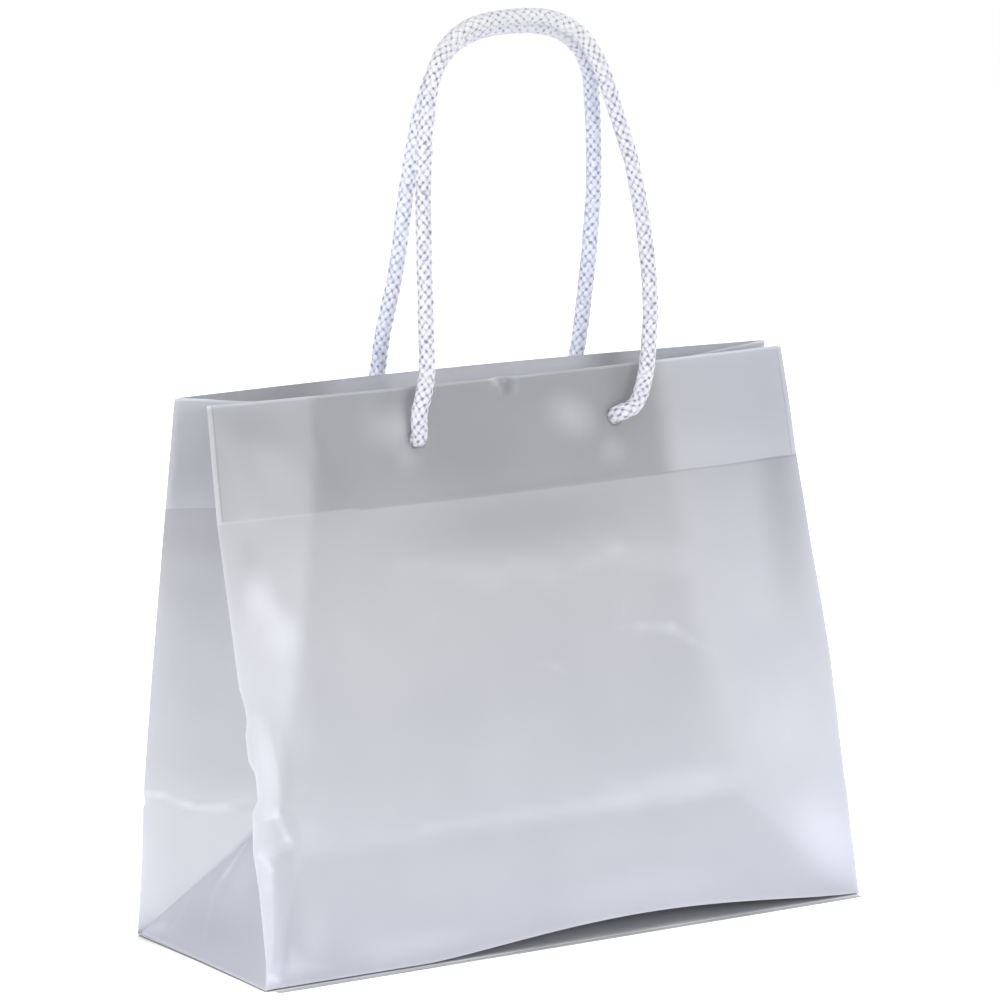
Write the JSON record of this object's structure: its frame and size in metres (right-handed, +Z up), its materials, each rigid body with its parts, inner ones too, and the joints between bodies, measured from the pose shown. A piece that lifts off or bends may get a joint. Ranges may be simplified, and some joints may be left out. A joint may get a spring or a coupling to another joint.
{
  "type": "plastic carrier bag",
  "caption": "Small frosted plastic carrier bag with gusseted sides, a block bottom, a turned-in hem and two braided cord handles knotted inside.",
  "frame": {"origin": "centre of the base, on the underside of the outer bottom flap", "axes": "+X along the bag's width, -Y out of the front panel, +Z up from the base to the mouth"},
  "size_m": [0.2624, 0.0942, 0.3319],
  "materials": {
    "film": "frosted, translucent, satin",
    "cord": "braided, white with a cool tint"
  },
  "bodies": {
    "root": {"bag_body": "film", "front_handle": "cord", "back_handle": "cord", "front_left_knot": "cord", "front_right_knot": "cord", "back_left_knot": "cord", "back_right_knot": "cord"}
  },
  "joints": []
}
